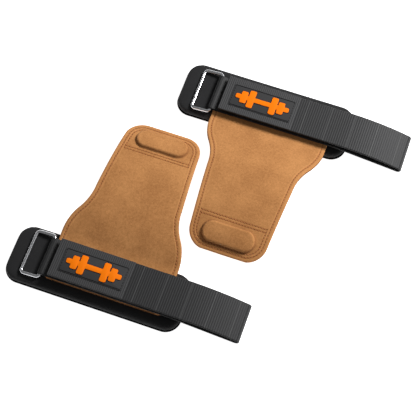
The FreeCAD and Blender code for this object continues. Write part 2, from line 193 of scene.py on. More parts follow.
def makeSuede():
    suede = Finish("tanSuede", Roughness=0.92, Sheen_Weight=0.04, Sheen_Roughness=0.5,
                   Specular_IOR_Level=0.12)
    flat = suede.attribute("flat", "Vector")
    cloud = suede.grain(flat, 26, 2)
    mottle = suede.grain(flat, 2.2, 3, 0.6)
    fibre = suede.grain(flat, 0.8, 3, 0.7)
    tone = suede.step(cloud * 0.3 + mottle * 0.3 + fibre * 0.4, 0.3, 0.7)
    base = suede.mix(tone, colour(160, 107, 61), colour(207, 147, 91))
    # lighter where the leather swells beside the rows of thread
    puffLighter = suede.mix(suede.attribute("puff") * 0.3, base, colour(218, 155, 97))
    # painted shade: darker in the crease round the finger pad
    creaseShaded = suede.mix(suede.attribute("crease") * 0.55, puffLighter, colour(104, 62, 32))
    # painted shade: darker in the sunk rows of thread
    grooveShaded = suede.mix(suede.step(suede.attribute("groove"), 0.25, 0.95) * 0.8, creaseShaded, colour(116, 68, 33))
    # painted shade: darker on the cut side walls, and a little on the underside
    edgeShaded = suede.mix(suede.attribute("rim"), grooveShaded, colour(120, 76, 42))
    suede.drive(Base_Color=edgeShaded, Normal=suede.bump(mottle * 0.4 + fibre * 0.6, 0.25, 0.6))
    return suede.material


def makeTanThread():
    thread = Finish("tanThread", Roughness=0.6, Sheen_Weight=0.2)
    spot = thread.place()
    twist = thread.grain(spot, 0.35, 2)
    thread.drive(Base_Color=thread.mix(twist, colour(150, 84, 32), colour(206, 128, 60)),
                 Normal=thread.bump(twist, 0.1, 0.5))
    return thread.material


def makeKnit(name, dark, light, depth):  # jersey over foam rubber
    knit = Finish(name, Roughness=0.9, Sheen_Weight=0.05, Specular_IOR_Level=0.25)
    spot = knit.place()
    axes = [knit.add("ShaderNodeSeparateXYZ", {}, {0: spot}, axis) for axis in range(2)]
    loops = knit.wave(axes[0] + knit.wave(axes[1], 1.4) * 0.35, 0.9) * knit.wave(axes[1], 0.7)
    cloud = knit.grain(spot, 14, 2)
    fuzz = knit.grain(spot, 0.5, 2)
    tone = cloud * 0.5 + fuzz * 0.3 + loops * 0.2
    knit.drive(Base_Color=knit.mix(tone, dark, light),
               Normal=knit.bump(loops * 0.7 + fuzz * 0.3, depth, 0.5))
    return knit.material


def makeWebbing(name, dark, light, ribs, dots, marks):  # ribs and dots are pitches along and across
    web = Finish(name, Roughness=0.58, Sheen_Weight=0.05, Sheen_Roughness=0.4, Specular_IOR_Level=0.3)
    along, across = web.along()
    row = (along / ribs).maths("FLOOR")
    rib = web.wave(along, ribs)
    dot = web.wave(across + row * (dots / 2), dots)
    fuzz = web.grain(web.attribute("flat", "Vector"), 0.45, 2)
    height = rib * 0.65 + rib * dot * 0.35
    # the fuzz is the yarn's own uneven tone; the rib and dot relief is painted in as shade, darker in its
    # hollows
    tone = web.step(height * 0.5 + fuzz * 0.5, 0.1, 1)
    base = web.mix(tone, dark, light)
    if marks:  # a light tracer thread across the webbing at each of these pitches
        line = web.step((along / marks).maths("FRACT").maths("SUBTRACT", 0.5).maths("ABSOLUTE") * marks,
                        0.6, 0.2)
        base = web.mix(line * 0.4, base, colour(92, 92, 92))
    edge = web.step(across.maths("ABSOLUTE"), 18.0, 18.8)
    web.drive(Base_Color=web.mix(edge * 0.75, base, dark),
              Normal=web.bump(height + fuzz * 0.4, 0.14, 0.6))
    return web.material


def makeTape(name, shade, size, depth):  # hook or loop tape
    tape = Finish(name, Roughness=0.85, Specular_IOR_Level=0.3)
    flat = tape.attribute("flat", "Vector")
    cells = tape.add("ShaderNodeTexVoronoi", {}, {"Vector": flat, "Scale": 1 / size}, "Distance")
    fuzz = tape.grain(flat, size, 3, 0.7)
    tape.drive(Base_Color=tape.mix(cells * 0.7 + fuzz * 0.3, shade, colour(14, 14, 15)),
               Normal=tape.bump(fuzz - cells, depth, 0.9))
    return tape.material


def makeChrome():
    chrome = Finish("chromeWire", Metallic=1.0)
    spot = chrome.place()
    wear = chrome.grain(spot, 5, 3)
    chrome.drive(Base_Color=chrome.mix(wear, colour(205, 206, 209), colour(224, 225, 228)),
                 Roughness=wear * 0.08 + 0.12)
    return chrome.material


def makePatchRubber():
    rubber = Finish("patchRubber", Roughness=0.7, Specular_IOR_Level=0.35)
    along, across = rubber.along()
    lines = rubber.wave(along + across, 1.5)
    cloud = rubber.grain(rubber.attribute("flat", "Vector"), 0.6, 2)
    rubber.drive(Base_Color=rubber.mix(lines * 0.5 + cloud * 0.5, colour(44, 44, 45), colour(57, 57, 58)),
                 Normal=rubber.bump(lines, 0.08, 0.5))
    return rubber.material


def makePlain(name, dark, light, roughness, size):  # thread and print: two close tones and a fine grain
    plain = Finish(name, Roughness=roughness, Specular_IOR_Level=0.12)
    fine = plain.grain(plain.place(), size, 2)
    plain.drive(Base_Color=plain.mix(fine, dark, light), Normal=plain.bump(fine, 0.06, 0.4))
    return plain.material


finishes = {
    "leather": makeSuede(),
    "tan_thread": makeTanThread(),
    "neoprene": makeKnit("neopreneKnit", colour(27, 27, 28), colour(47, 47, 48), 0.12),
    "lining": makeKnit("liningKnit", colour(14, 14, 15), colour(30, 30, 31), 0.1),
    "webbing": makeWebbing("ribbedWebbing", colour(31, 31, 32), colour(59, 59, 60), 2.2, 1.2, 23.5),
    "tip_weave": makeWebbing("tipWeave", colour(48, 48, 49), colour(78, 78, 79), 1.9, 1.5, 0),
    # painted shade: the strap's webbing made darker for the ring tab, which lies in shade
    "tab_weave_shaded": makeWebbing("tabWeaveShaded", colour(19, 19, 20), colour(42, 42, 43), 1.7, 1.2, 0),
    "hook_tape": makeTape("hookTape", colour(44, 44, 45), 0.9, 0.35),
    "loop_tape": makeTape("loopTape", colour(38, 38, 39), 1.3, 0.45),
    "chrome_wire": makeChrome(),
    "patch_rubber": makePatchRubber(),
    "black_thread": makePlain("blackThread", colour(9, 9, 10), colour(24, 24, 25), 0.7, 0.3),
    "orange_print": makePlain("orangePrint", colour(255, 120, 0), colour(255, 132, 0), 0.6, 0.8),
    "print_edge": makePlain("printEdge", colour(16, 20, 28), colour(26, 31, 41), 0.6, 0.5),
}
print("finishes made:", len(finishes))


def stations(*runs):  # rising positions from (start, stop, spacing) runs that meet
    places = [runs[0][0]]
    for start, stop, spacing in runs:
        count = max(1, round((stop - start) / spacing))
        places += [start + (stop - start) * (n + 1) / count for n in range(count)]
    return places


def slab(along, across, thick, cuts):  # a closed slab with vertices at the stations, and a cut wall
    bm = bmesh.new()
    bmesh.ops.create_grid(bm, x_segments=len(along) - 1, y_segments=len(across) - 1, size=0.5)
    for v in bm.verts:
        v.co.x = along[round((v.co.x + 0.5) * (len(along) - 1))]
        v.co.y = across[round((v.co.y + 0.5) * (len(across) - 1))]
        v.co.z = thick / 2
    made = bmesh.ops.extrude_face_region(bm, geom=bm.faces[:])["geom"]
    lower = [g for g in made if isinstance(g, bmesh.types.BMVert)]
    bmesh.ops.translate(bm, verts=lower, vec=(0, 0, -thick))
    wall = [e for e in bm.edges if abs(e.verts[0].co.z - e.verts[1].co.z) > thick / 2]
    bmesh.ops.subdivide_edges(bm, edges=wall, cuts=cuts, use_grid_fill=True)
    return bm


def topOf(faces):
    highest = max(v.co.z for f in faces for v in f.verts)
    return [f for f in faces if min(v.co.z for v in f.verts) > highest - 1e-4]


def roundOver(bm, faces, radius, steps):  # insets a flat top in steps as it rises, to a rounded edge
    bm.normal_update()
    for n in range(steps):
        first, second = (math.pi / 2 * k / steps for k in (n, n + 1))
        bmesh.ops.inset_region(bm, faces=faces, thickness=radius * (math.cos(first) - math.cos(second)),
                               depth=radius * (math.sin(second) - math.sin(first)), use_even_offset=True)


def noteFlat(bm):  # keeps the flat-cut coordinates before the slab is bent
    flat = bm.verts.layers.float_vector.new("flat")
    for v in bm.verts:
        v[flat] = v.co
    return flat


def makePair(bm, name, finish, nodes=(), body=None, bend=None):
    pair = {}
    for side, turn in sides.items():
        half = bm.copy()
        flat = half.verts.layers.float_vector.get("flat")
        if flat and turn < 0:  # so that the two grips aren't cut from the same spot
            for v in half.verts:
                v[flat] = v[flat] + Vector((0, 0, 60))
        bmesh.ops.scale(half, vec=(mm, mm * turn, mm), verts=half.verts)
        bmesh.ops.translate(half, vec=gripPlace(side), verts=half.verts)
        bmesh.ops.recalc_face_normals(half, faces=half.faces)
        mesh = bpy.data.meshes.new(f"{side}_{name}")
        half.to_mesh(mesh)
        half.free()
        mesh.shade_smooth()
        mesh.materials.append(finishes[finish])
        piece = bpy.data.objects.new(f"{side}_{name}", mesh)
        bpy.context.scene.collection.objects.link(piece)
        if body:
            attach(piece, f"{side}_{body}")
        if bend:
            first, second, start, end = bend
            gripPoint(side, *start)
            gripPoint(side, *end)
            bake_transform(piece)
        if nodes:
            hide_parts(*[f"{side}_{node}" for node in nodes])
        pair[side] = piece
    bm.free()
    print("made", name)
    return pair


leather = {
    "neckHalf": 42.6,      # half the width where the neck begins
    "endHalf": 38,         # and at the fingertips
    "shoulder": 28,        # where the shoulder's curve starts
    "neck": 80,            # and where it ends
    "corner": 19,
    "backCorner": 4,
    "rise": 12,            # the flap's arch
    "crease": 6,           # the bend at the hinge, each way
    "edgeRow": 3.9,        # rows of thread, in from the edge
    "pocketRow": 6.7,
    "crossRows": (125, 128),
    "grooveDepth": 0.3,
    "grooveWidth": 0.55,
    "padCentre": 141.4,
    "padLength": 52,
    "padWidth": 20.5,
    "padHeight": 3.5,
    "padRound": 2.3,       # rounding of its top edge
    "padFoot": 0.7,        # crease round it, painted darker as shade
    "ripple": 0.22,        # how uneven the skin is
    "puff": 0.12,          # swelling beside the thread
    "edgeRound": 0.45,     # rounding of the cut edges
    "seam": 0.35,          # groove between the two layers at the cut edge
}
leatherThick = 2 * (anchorHigh.z - anchorLow.z)
leatherMiddle = (anchorLow.x + anchorHigh.x) / 2
wristHalf = (anchorHigh.x - anchorLow.x) / 2
leatherBack, leatherTip = anchorLow.y, flapHigh.y
cornerX, cornerY = leather["endHalf"] - leather["corner"], leatherTip - leather["corner"]
chord = leatherTip - palmHinge.y
archRadius = (chord * chord / 4 + leather["rise"] ** 2) / (2 * leather["rise"])
archY = (palmHinge.y + leatherTip) / 2
archZ = palmHinge.z + leather["rise"] - archRadius


def leatherHalf(y):  # half the leather's width at a place along it
    fall, rise = wristHalf - leather["neckHalf"], leather["neck"] - leather["shoulder"]
    arc = (rise * rise + fall * fall) / (4 * fall)
    middle = (leather["shoulder"] + leather["neck"]) / 2
    if y < leatherBack + leather["backCorner"]:
        drop = leatherBack + leather["backCorner"] - y
        small = leather["backCorner"]
        return wristHalf - small + math.sqrt(max(small ** 2 - drop ** 2, 0))
    if y < leather["shoulder"]:
        return wristHalf
    if y < middle:
        return wristHalf - arc + math.sqrt(arc ** 2 - (y - leather["shoulder"]) ** 2)
    if y < leather["neck"]:
        return leather["neckHalf"] + arc - math.sqrt(arc ** 2 - (leather["neck"] - y) ** 2)
    if y < cornerY:
        share = (y - leather["neck"]) / (cornerY - leather["neck"])
        return leather["neckHalf"] + (leather["endHalf"] - leather["neckHalf"]) * share
    return cornerX + math.sqrt(max(leather["corner"] ** 2 - (y - cornerY) ** 2, 0))


def edgeDistance(x, y):  # from a place on the leather to its nearest edge
    across = abs(x - leatherMiddle)
    if across > cornerX and y > cornerY:
        return leather["corner"] - math.hypot(across - cornerX, y - cornerY)
    slope = leatherHalf(min(y + 0.5, cornerY)) - leatherHalf(min(y - 0.5, cornerY - 1))
    return min((leatherHalf(min(y, cornerY)) - across) / math.hypot(1, slope), leatherTip - y)


def flapCurve(y):  # height and slope of the seam between the two layers
    start, stop = palmHinge.y - leather["crease"], palmHinge.y + leather["crease"]

    def arch(place):
        high = math.sqrt(archRadius ** 2 - (place - archY) ** 2)
        return archZ + high, -(place - archY) / high
    if y <= start:
        return palmHinge.z, 0
    if y >= stop:
        return arch(y)
    span, t = stop - start, (y - start) / (stop - start)
    endZ, endSlope = arch(stop)
    height = (2 * t ** 3 - 3 * t ** 2 + 1) * palmHinge.z + (3 * t ** 2 - 2 * t ** 3) * endZ
    height += (t ** 3 - t ** 2) * span * endSlope
    slope = (6 * t ** 2 - 6 * t) * (palmHinge.z - endZ) / span + (3 * t ** 2 - 2 * t) * endSlope
    return height, slope


def bendLeather(x, y, through):  # from the flat cut to its place over the hand
    height, slope = flapCurve(y)
    size = math.hypot(1, slope)
    return Vector((x, y - through * slope / size, height + through / size))


def row(distance):  # 1 on a row of thread, fading to 0 beside it
    return math.exp(-(distance / leather["grooveWidth"]) ** 2)


def grooves(x, y):
    inside = edgeDistance(x, y)
    first, second = leather["crossRows"]
    sunk = row(inside - leather["edgeRow"]) if y > upperHigh.y else 0
    if y > first - 1:
        sunk = max(sunk, row(inside - leather["pocketRow"]))
    if inside > leather["pocketRow"]:
        sunk = max(sunk, row(y - first), row(y - second))
    return sunk


def padInside(x, y):  # how far inside the finger pad's outline a place is
    half = leather["padWidth"] / 2
    reach = max(abs(x - leatherMiddle) - (leather["padLength"] / 2 - half), 0)
    return half - math.hypot(reach, y - leather["padCentre"])


def padRise(x, y):
    inside = padInside(x, y)
    if inside < 0:
        return 0
    share = min(inside / leather["padRound"], 1)
    crown = 0.5 * min(inside / (leather["padWidth"] / 2), 1) ** 0.7
    return (leather["padHeight"] - 0.5) * math.sqrt(1 - (1 - share) ** 2) + crown


def shapeLeather(bm):
    flat = noteFlat(bm)
    groove = bm.verts.layers.float.new("groove")
    puff = bm.verts.layers.float.new("puff")
    crease = bm.verts.layers.float.new("crease")
    rim = bm.verts.layers.float.new("rim")
    half = leatherThick / 2
    for v in bm.verts:
        x, y, through = v.co
        inside = edgeDistance(x, y)
        top = through > half - 0.01
        rounding = leather["edgeRound"] * max(1 - inside / 1.1, 0) ** 2
        if top:
            sunk = grooves(x, y)
            # the stitch rows, sunk into the leather and also darkened as painted shade
            v[groove] = sunk
            # how much painted shade darkens the suede in the crease round the finger pad
            v[crease] = math.exp(-(padInside(x, y) / leather["padFoot"]) ** 2)
            v[puff] = max(math.exp(-((inside - 5.3) / 0.8) ** 2), math.exp(-((inside - 1.8) / 1.2) ** 2))
            raised = padRise(x, y) - leather["grooveDepth"] * sunk + leather["puff"] * v[puff]
            wander = noise.noise(Vector((x, y, 0)) / 21) + 0.4 * noise.noise(Vector((x, y, 7)) / 8)
            calm = min(max((y - upperHigh.y) / 8, 0), 1) * min(inside / 6, 1)
            raised += leather["ripple"] * wander * calm
        else:
            raised = 0
            # painted shade: full on the cut side walls, a little on the underside
            v[rim] = 1 if abs(through) < half - 0.01 else 0.3
        squeezed = through * (1 - rounding / half)
        seam = leather["seam"] * math.exp(-(through / 0.3) ** 2) if abs(through) < half - 0.01 else 0
        if seam and inside < 0.05:
            x -= math.copysign(seam, x - leatherMiddle) * (1 if y < leatherTip - 0.5 else 0)
            y -= seam if y > leatherTip - 0.5 else 0
        v[flat] = Vector((x, y, through))
        v.co = bendLeather(x, y, squeezed + raised)


def makeLeather():
    steps = 26
    rounded = [cornerY + leather["corner"] * math.sin(math.pi / 2 * (n + 1) / steps) for n in range(steps)]
    first, second = leather["crossRows"]
    rows = stations((leatherBack, leatherBack + 4, 0.8), (leatherBack + 4, 18, 2.4), (18, 33, 0.75),
                    (33, first - 3, 1.3), (first - 3, second + 2, 0.45), (second + 2, cornerY, 0.7)) + rounded
    neck = leather["neckHalf"]
    outer = neck - 9.5
    columns = stations((-neck, -outer, 0.5), (-outer, outer, 0.8), (outer, neck, 0.5))
    bm = slab(columns, rows, leatherThick, 7)
    for v in bm.verts:
        edge = neck - abs(v.co.x)  # keeps the columns by the edge parallel to it
        half = leatherHalf(v.co.y)
        keep = max(1 - edge / neck, 0) ** 3
        share = (half - edge) * keep + half * (abs(v.co.x) / neck) * (1 - keep)
        offCentre = half > 2 * outer / 3 and abs(v.co.x) > 1e-6  # narrow rows close at the middle line
        v.co.x = leatherMiddle + (math.copysign(share, v.co.x) if offCentre else 0)
    shapeLeather(bm)
    return makePair(
        bm, "palmLeather", "leather",
        ("anchor_back", "anchor_face", "palm_back", "palm_face", "pad_insert"),
        bend=("wrist", "palm", (leatherMiddle, palmHinge.y - 4, palmHinge.z),
              (leatherMiddle, palmHinge.y + 8, palmHinge.z)))


def outlineRow(inside, startY):  # places along a line inside the edge, up one side and down the other
    places = []
    for n in range(round((cornerY - startY) / 0.5) + 1):
        y = startY + (cornerY - startY) * n / round((cornerY - startY) / 0.5)
        slope = leatherHalf(min(y + 0.5, cornerY)) - leatherHalf(min(y - 0.5, cornerY - 1))
        places.append((leatherHalf(y) - inside * math.hypot(1, slope), y))
    for n in range(1, 31):
        turn = math.pi / 2 * n / 30
        reach = leather["corner"] - inside
        places.append((cornerX + reach * math.cos(turn), cornerY + reach * math.sin(turn)))
    left = [Vector((leatherMiddle - x, y)) for x, y in places]
    right = [Vector((leatherMiddle + x, y)) for x, y in reversed(places)]
    return left + right


stitch = {"pitch": 2.9, "length": 2.35, "radius": 0.42, "tilt": 9}


def sewRow(bm, line, lift, slant=1):  # one stitch after another along a line of places
    lengths = [0]
    for first, second in zip(line, line[1:]):
        lengths.append(lengths[-1] + (second - first).length)
    count = max(1, round(lengths[-1] / stitch["pitch"]))
    pitch = lengths[-1] / count
    index = 0
    for n in range(count):
        want = (n + 0.5) * pitch
        while lengths[index + 1] < want:
            index += 1
        share = (want - lengths[index]) / (lengths[index + 1] - lengths[index])
        centre = line[index].lerp(line[index + 1], share)
        way = (line[index + 1] - line[index]).normalized()
        turn = math.atan2(way.y, way.x) + math.radians(stitch["tilt"]) * slant
        made = bmesh.ops.create_uvsphere(bm, u_segments=6, v_segments=5, radius=1)["verts"]
        bmesh.ops.rotate(bm, verts=made, matrix=Matrix.Rotation(math.pi / 2, 3, "Y"))
        bmesh.ops.scale(bm, verts=made, vec=(stitch["length"] / 2, stitch["radius"], stitch["radius"]))
        bmesh.ops.rotate(bm, verts=made, matrix=Matrix.Rotation(turn, 3, "Z"))
        bmesh.ops.translate(bm, verts=made, vec=(centre.x, centre.y, lift))


def makeStitching():
    lift = leatherThick / 2 - 0.05
    first, second = leather["crossRows"]
    edge = bmesh.new()
    sewRow(edge, outlineRow(leather["edgeRow"], upperHigh.y + 1), lift)
    pocket = bmesh.new()
    sewRow(pocket, outlineRow(leather["pocketRow"], first), lift)
    for y in (first, second):
        reach = leatherHalf(y) - leather["pocketRow"] - 0.4
        sewRow(pocket, [Vector((leatherMiddle - reach, y)), Vector((leatherMiddle + reach, y))], lift)
    for bm in (edge, pocket):
        for v in bm.verts:
            v.co = bendLeather(*v.co)
    makePair(edge, "edgeStitches", "tan_thread", ("edge_stitching",),
             bend=("wrist", "palm", (leatherMiddle, palmHinge.y - 4, palmHinge.z),
                   (leatherMiddle, palmHinge.y + 8, palmHinge.z)))
    makePair(pocket, "pocketStitches", "tan_thread", ("pad_stitching",), body="palm")


flaps = makeLeather()
makeStitching()


band = {
    "corner": 15,
    "shrink": 0.5,        # how much smaller the pad starts than it ends
    "lower": 0.2,         # and how much lower
    "rim": 3.0,           # rounding of its upper edge before it swells
    "edge": 0.4,          # and of the lining's
    "voxel": 2.2,
    "swell": 1.3,         # the most that a point may move
    "pressure": 4,
    "frames": 20,
}


def bandForm(shrink):
    low = bandLow + Vector((shrink, shrink, 0))
    high = bandHigh - Vector((shrink, shrink, band["lower"] + band["rim"]))
    bm = bmesh.new()
    bmesh.ops.create_cube(bm, size=1)
    bmesh.ops.scale(bm, vec=high - low, verts=bm.verts)
    bmesh.ops.translate(bm, vec=(high + low) / 2, verts=bm.verts)
    upright = [e for e in bm.edges if abs(e.verts[0].co.z - e.verts[1].co.z) > 1]
    bmesh.ops.bevel(bm, geom=upright, offset=band["corner"] - shrink, affect="EDGES", segments=14,
                    profile=0.5, material=-1)
    roundOver(bm, topOf(bm.faces), band["rim"], 6)
    return bm


def sewnDown(place):  # where the leather, the ring or the lining holds the pad flat
    underLeather = (anchorLow.x - 1 < place.x < anchorHigh.x + 1
                    and anchorLow.y - 1 < place.y < anchorHigh.y + 1)
    underRing = ringLow.x - 1 < place.x < anchorLow.x and ringLow.y - 1 < place.y < ringHigh.y + 1
    return place.z < bandLow.z + 0.6 or underLeather or underRing


def makeBand():
    bm = bandForm(band["shrink"])
    bmesh.ops.scale(bm, vec=(mm, mm, mm), verts=bm.verts)
    mesh = bpy.data.meshes.new("bandForm")
    bm.to_mesh(mesh)
    bm.free()
    form = bpy.data.objects.new("bandForm", mesh)
    bpy.context.scene.collection.objects.link(form)
    remesh = form.modifiers.new("remesh", "REMESH")
    remesh.mode, remesh.voxel_size = "VOXEL", band["voxel"] * mm
    bpy.context.view_layer.update()
    graph = bpy.context.evaluated_depsgraph_get()
    form.data = bpy.data.meshes.new_from_object(form.evaluated_get(graph))
    form.modifiers.clear()
    rest = [v.co.copy() for v in form.data.vertices]
    held = form.vertex_groups.new(name="held")
    held.add([v.index for v in form.data.vertices if sewnDown(v.co / mm)], 1, "REPLACE")
    cloth = form.modifiers.new("cloth", "CLOTH")
    cloth.settings.use_pressure = True
    cloth.settings.uniform_pressure_force = band["pressure"]
    cloth.settings.effector_weights.gravity = 0
    cloth.settings.vertex_group_mass = "held"
    cloth.settings.quality = 6
    scene = bpy.context.scene
    for number in range(1, band["frames"] + 1):
        scene.frame_set(number)
    graph = bpy.context.evaluated_depsgraph_get()
    swollen = bpy.data.meshes.new_from_object(form.evaluated_get(graph))
    form.modifiers.clear()
    for v, start, moved in zip(form.data.vertices, rest, swollen.vertices):
        shift = moved.co - start
        v.co = start + shift * min(1, band["swell"] * mm / max(shift.length, 1e-9))
    bpy.data.meshes.remove(swollen)
    scene.frame_set(1)
    pad = bmesh.new()
    pad.from_mesh(form.data)
    bmesh.ops.scale(pad, vec=(1 / mm, 1 / mm, 1 / mm), verts=pad.verts)
    for v in pad.verts:
        v.co.z = max(v.co.z, bandLow.z)
        if sewnDown(v.co):
            v.co.z = min(v.co.z, bandHigh.z)
    bmesh.ops.smooth_vert(pad, verts=pad.verts, factor=0.5, use_axis_x=True, use_axis_y=True, use_axis_z=True)
    bpy.data.objects.remove(form)
    pads = makePair(pad, "bandPad", "neoprene", ("wrist_cover", "wrist_core"), body="wrist")
    for pad in pads.values():
        finer = pad.modifiers.new("finer", "SUBSURF")
        finer.levels = finer.render_levels = 1
    return pads


def makeLining():
    bm = bmesh.new()
    bmesh.ops.create_cube(bm, size=1)
    low = Vector((bandLow.x, bandLow.y, 0))
    high = Vector((bandHigh.x, bandHigh.y, liningHigh.z - band["edge"]))
    bmesh.ops.scale(bm, vec=high - low, verts=bm.verts)
    bmesh.ops.translate(bm, vec=(high + low) / 2, verts=bm.verts)
    upright = [e for e in bm.edges if abs(e.verts[0].co.z - e.verts[1].co.z) > 0.5]
    bmesh.ops.bevel(bm, geom=upright, offset=band["corner"], affect="EDGES", segments=18, profile=0.5,
                    material=-1)
    roundOver(bm, topOf(bm.faces), band["edge"], 3)
    linings = makePair(bm, "bandLining", "lining", ("wrist_lining",), body="wrist")
    for lining in linings.values():
        lining.data.set_sharp_from_angle(angle=math.radians(40))


pads = makeBand()
makeLining()
for side, flap in flaps.items():
    halves = [leatherHalf(leatherBack + n + 0.5) for n in range(round(leatherTip - leatherBack))]
    plan = sum(2 * half for half in halves) * mm * mm
    plan * 1.02


strap = {
    "thick": 1.8,
    "foldRadius": 3.6,     # outside of the fold
    "upperSlope": 18,      # degrees, where the upper leg meets the fold
    "lowerBend": 60,       # radius of the lower leg's bend
    "cornerX": 119,        # where the two straight parts of the lower leg would meet
    "rib": 2.2,
    "ribHeight": 0.1, 
    "spacing": 0.55,
}
strapHalf = upperHigh.y
foldMiddle = strap["foldRadius"] - strap["thick"] / 2


def strapTurns():  # straight runs and arcs (length, or radius and degrees) from the tip to the ring
    slope = math.radians(strap["upperSlope"])
    inside = strap["foldRadius"] - strap["thick"]
    under = upperHigh.z - strap["thick"]
    curve = (under - strapHinge.z - inside * math.cos(slope)) / (1 - math.cos(slope))
    flat = strapHinge.x + (inside - curve) * math.sin(slope)
    run, drop = strapHinge.x - strap["cornerX"], lowerHigh.z - strap["thick"] - strapHinge.z
    leg = math.hypot(run, drop)
    lower = math.asin(drop / leg) + math.asin(strap["foldRadius"] / leg)
    bendLength = strap["lowerBend"] * math.tan(lower / 2)
    straight = leg * math.cos(math.asin(strap["foldRadius"] / leg)) - bendLength
    back = strap["cornerX"] - bendLength - lowerLow.x
    return [(flat, 0, 0), (0, curve + strap["thick"] / 2, -strap["upperSlope"]),
            (0, foldMiddle, -(180 - strap["upperSlope"] + math.degrees(lower))),
            (straight, 0, 0), (0, strap["lowerBend"] + strap["thick"] / 2, math.degrees(lower)), (back, 0, 0)]


def follow(turns, x, z, heading):  # a function from the length along a path to its place and heading
    runs = []
    total = 0
    for length, radius, degrees in turns:
        bend = math.radians(degrees)
        size = length or radius * abs(bend)
        runs.append((total, size, x, z, heading, radius, bend))
        if radius:
            side = math.copysign(1, bend)
            x += radius * (math.sin(heading + bend) - math.sin(heading)) * side
            z -= radius * (math.cos(heading + bend) - math.cos(heading)) * side
            heading += bend
        else:
            x += size * math.cos(heading)
            z += size * math.sin(heading)
        total += size

    def place(along):
        reached = [run for run in runs if run[0] <= along + 1e-9] or runs[:1]
        start, size, x, z, heading, radius, bend = reached[-1]
        share = (along - start) / size
        if not radius:
            return x + (along - start) * math.cos(heading), z + (along - start) * math.sin(heading), heading
        turned = bend * share
        side = math.copysign(1, bend)
        return (x + radius * (math.sin(heading + turned) - math.sin(heading)) * side,
                z - radius * (math.cos(heading + turned) - math.cos(heading)) * side, heading + turned)
    return place, [r[0] for r in runs] + [total]


def webbing(start, stop, path, half, thick, spacing, rib=0, ribHeight=0, thin=0.5, cuts=3):
    edges = [(-half, -half + 1.2, 0.3), (-half + 1.2, half - 1.2, 1.9), (half - 1.2, half, 0.3)]
    bm = slab(stations((start, stop, spacing)), stations(*edges), thick, cuts)
    noteFlat(bm)
    for v in bm.verts:
        along, across, through = v.co
        side = through / (thick / 2)
        edge = max(1 - (half - abs(across)) / 0.9, 0)
        through *= 1 - thin * edge ** 2
        across -= math.copysign(0.15 * abs(side) ** 2 * edge ** 2, across)
        if rib:
            through -= side * ribHeight * (0.5 - 0.5 * math.cos(2 * math.pi * along / rib)) * (1 - edge)
        x, z, heading = path(along)
        v.co = Vector((x - through * math.sin(heading), across, z + through * math.cos(heading)))
    return bm


def makeStrap():
    turns = strapTurns()
    path, marks = follow(turns, upperLow.x, upperHigh.z - strap["thick"] / 2, 0)
    common = {"half": strapHalf, "thick": strap["thick"], "rib": strap["rib"],
              "ribHeight": strap["ribHeight"]}
    foldStart, foldStop = marks[2], marks[3]
    upper = webbing(0, foldStart, path, spacing=strap["spacing"], **common)
    makePair(upper, "strapUpperLeg", "webbing", ("strap_upper",), body="strap_end")
    fold = webbing(foldStart, foldStop, path, spacing=0.35, **common)
    inner = strap["foldRadius"] - strap["thick"]
    low = strapHinge.z - inner * math.cos(math.radians(turns[4][2]))
    high = strapHinge.z + inner * math.cos(math.radians(strap["upperSlope"]))
    makePair(fold, "strapTurn", "webbing", ("strap_fold",),
             bend=("wrist", "strap_end", (strapHinge.x, 0, low), (strapHinge.x, 0, high)))
    lower = webbing(foldStop, marks[-1], path, spacing=strap["spacing"], **common)
    makePair(lower, "strapLowerLeg", "webbing", ("strap_lower",), body="wrist")


def level(z):  # a straight path at one height
    return lambda along: (along, z, 0)


def makeTapes():
    for name, node, body, slot, fuzz in (("hookTape", "hook_tape", "wrist", "hook_tape", 0.16),
                                         ("loopTape", "loop_tape", "strap_end", "loop_tape", 0.2)):
        low, high = gripBox(node)
        thick = high.z - low.z
        bm = webbing(low.x, high.x, level((low.z + high.z) / 2), high.y, thick, 1.4, thin=0.2)
        for v in bm.verts:  # hooks stand up from one tape, loops hang from the other
            outer = (v.co.z > low.z + thick / 2) == (node == "hook_tape")
            if outer:
                v.co.z += fuzz * noise.noise(v.co * 0.9)
        makePair(bm, name, slot, (node,), body=body)


tab = {"thick": 0.9, "lead": 7.5}


def makeTab():
    radius = (tabHigh.z - tabLow.z) / 2 - tab["thick"] / 2
    centreX, centreZ = ringHinge.x, ringHinge.z
    end = lowerLow.x
    topTail = lowerHigh.z - tab["thick"] / 2
    lowTail = topTail - tab["thick"]

    def eased(x, tail, loop):  # from the loop's top or bottom to the flat tails
        share = min(max((x - centreX) / tab["lead"], 0), 1)
        weight = share * share * (3 - 2 * share)
        slope = 6 * share * (1 - share) / tab["lead"] * (tail - loop)
        return loop + (tail - loop) * weight, slope
    tail, half = end - centreX, math.pi * radius  # lengths of a tail and of the half turn

    def path(along):
        if along < tail:
            z, slope = eased(end - along, topTail, centreZ + radius)
            return end - along, z, math.pi + math.atan(slope)
        if along < tail + half:
            turn = math.pi + (along - tail) / radius
            return (centreX + radius * math.cos(turn - math.pi / 2),
                    centreZ + radius * math.sin(turn - math.pi / 2), turn)
        x = centreX + along - tail - half
        z, slope = eased(x, lowTail, centreZ - radius)
        return x, z, math.atan(slope)
    bm = webbing(0, 2 * tail + half, path, strapHalf, tab["thick"], 0.45, rib=1.7, ribHeight=0.08)
    makePair(bm, "ringTab", "tab_weave_shaded", ("ring_tab",), body="wrist")


makeStrap()
makeTapes()
makeTab()


ring = {"wire": 1.6, "corner": 3.2, "facets": 16, "bend": 10}


